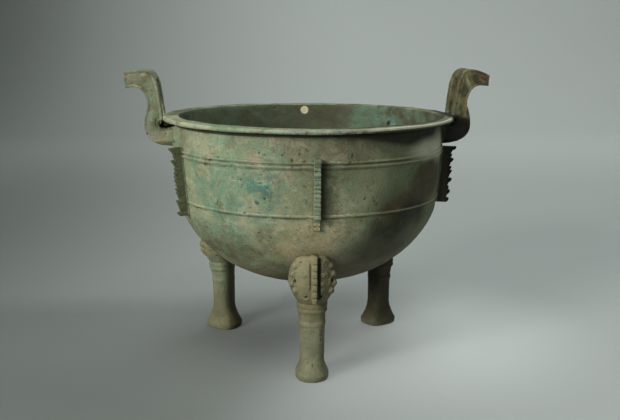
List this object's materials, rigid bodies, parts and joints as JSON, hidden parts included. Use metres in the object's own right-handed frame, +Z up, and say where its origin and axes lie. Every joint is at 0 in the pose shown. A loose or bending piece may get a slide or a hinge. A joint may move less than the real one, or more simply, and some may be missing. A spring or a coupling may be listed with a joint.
{
  "type": "bronze ding vessel",
  "caption": "Round-bellied bronze ding: deep bowl with flat lip and string lines, upright curled handles, notched flanges and hoofed legs with animal masks.",
  "frame": {"origin": "on the ground, in the middle of the vessel's outline seen from above", "axes": "+Z up along the bowl's axis, +X towards one handle, -Y towards the single front leg"},
  "size_m": [0.446, 0.3662, 0.3519],
  "materials": {
    "bronze": "dull corroded bronze with grey-green and blue-green crust, earth and brown patches"
  },
  "bodies": {
    "root": {"ding": "bronze"}
  },
  "joints": []
}
